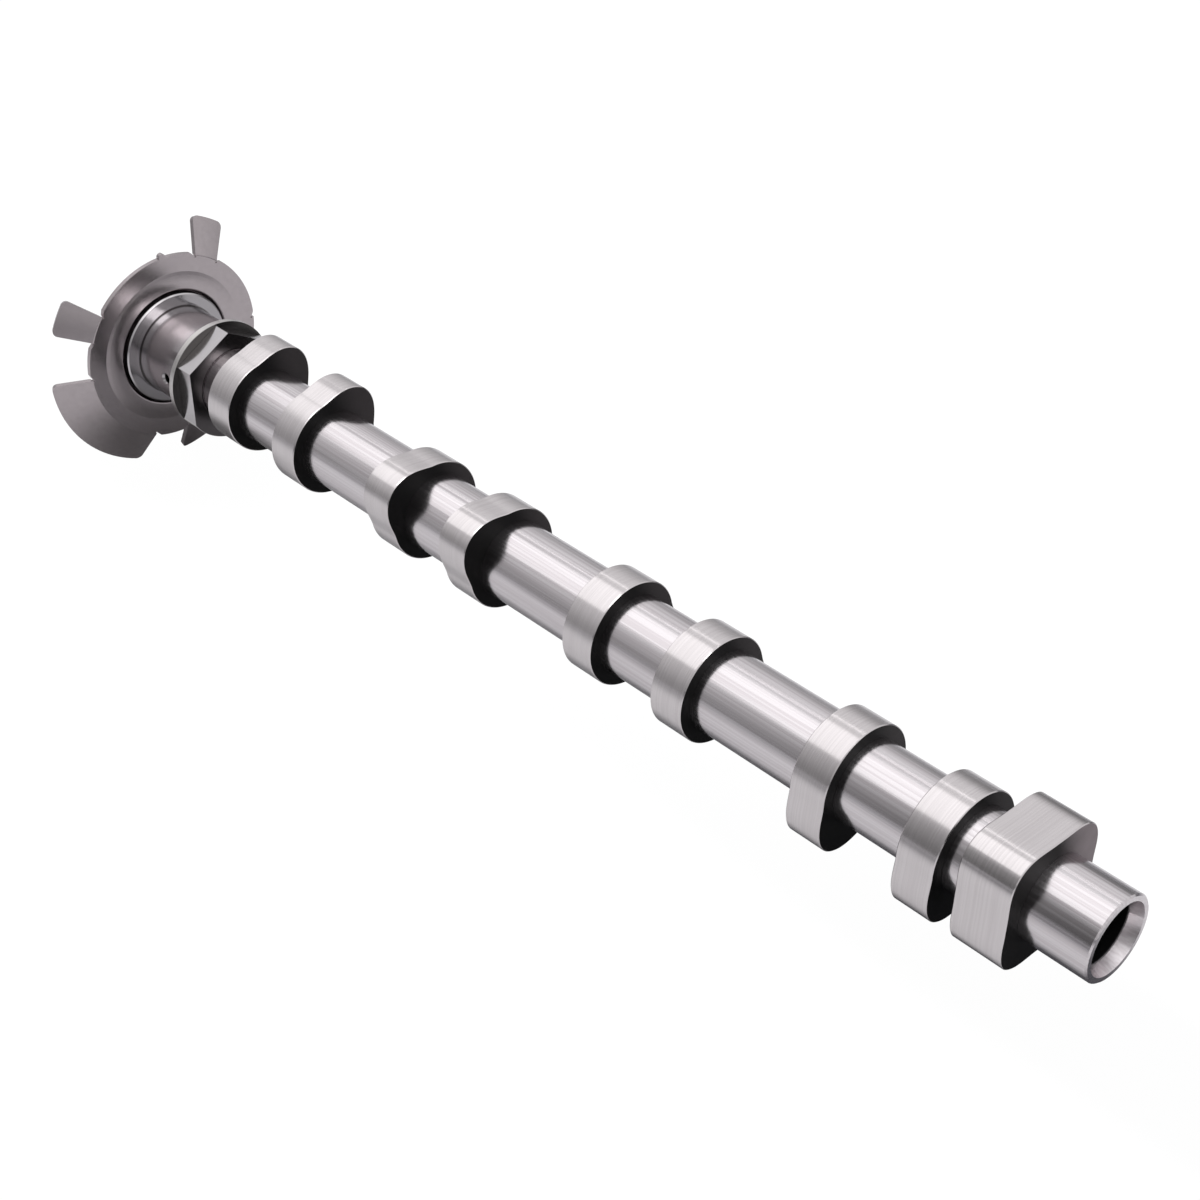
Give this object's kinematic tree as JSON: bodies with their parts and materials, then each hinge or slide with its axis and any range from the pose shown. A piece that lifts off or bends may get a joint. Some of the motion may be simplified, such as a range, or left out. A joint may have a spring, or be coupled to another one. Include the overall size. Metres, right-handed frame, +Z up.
{
  "type": "camshaft",
  "caption": "Assembled hollow camshaft: steel tube with pressed-on cam lobes and a square pump cam, a turned end piece with journal and spanner flats, and a stamped sensor wheel.",
  "frame": {"origin": "centre of the drive face of the end piece, on the shaft's axis", "axes": "+X along the shaft from the drive face to the open end of the tube, +Z up as the shaft lies, +Y to the side"},
  "size_m": [0.4237, 0.0909, 0.09],
  "materials": {
    "ground_tube_steel": "ground along the tube, bright, with fine grinding marks round it",
    "ground_cam_steel": "satin ground running surface with fine lines round it, darker machined sides",
    "turned_steel": "turned and ground, bright journal and flats",
    "sheet_steel": "rolled sheet, satin, with bright cut edges"
  },
  "bodies": {
    "root": {"shaft_tube": "ground_tube_steel", "cam_lobe_1": "ground_cam_steel", "cam_lobe_2": "ground_cam_steel", "cam_lobe_3": "ground_cam_steel", "cam_lobe_4": "ground_cam_steel", "cam_lobe_5": "ground_cam_steel", "cam_lobe_6": "ground_cam_steel", "cam_lobe_7": "ground_cam_steel", "cam_lobe_8": "ground_cam_steel", "pump_cam": "ground_cam_steel", "end_piece": "turned_steel", "trigger_wheel": "sheet_steel"}
  },
  "joints": []
}
